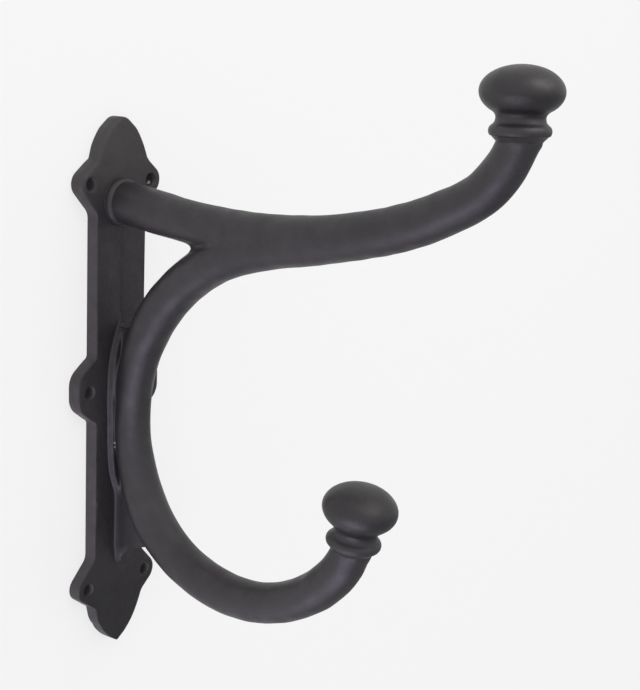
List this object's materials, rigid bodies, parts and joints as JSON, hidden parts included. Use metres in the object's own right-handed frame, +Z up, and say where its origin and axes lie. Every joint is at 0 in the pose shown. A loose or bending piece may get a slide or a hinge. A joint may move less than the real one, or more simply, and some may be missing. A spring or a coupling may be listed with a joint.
{
  "type": "harness hook",
  "caption": "Black cast-iron wall hook: a narrow screw plate carries a long upper arm turned up to a knob, and a forked lower arm that curls forward to a second knob.",
  "frame": {"origin": "middle of the plate's back face, half way between its top and bottom screw rows", "axes": "+Z up, +Y into the wall, the hook stands out along -Y, and X = 0 is its plane of symmetry"},
  "size_m": [0.0584, 0.2467, 0.3158],
  "materials": {
    "plate": "satin black coating over a fine sand-cast surface",
    "arms": "satin black coating, fettled smooth",
    "knobs": "satin black coating, slightly worn on top"
  },
  "bodies": {
    "root": {"back_plate": "plate", "root_collar": "plate", "arm_web": "plate", "upper_arm": "arms", "lower_arm": "arms", "upper_collar": "arms", "lower_collar": "arms", "upper_knob": "knobs", "lower_knob": "knobs"}
  },
  "joints": []
}
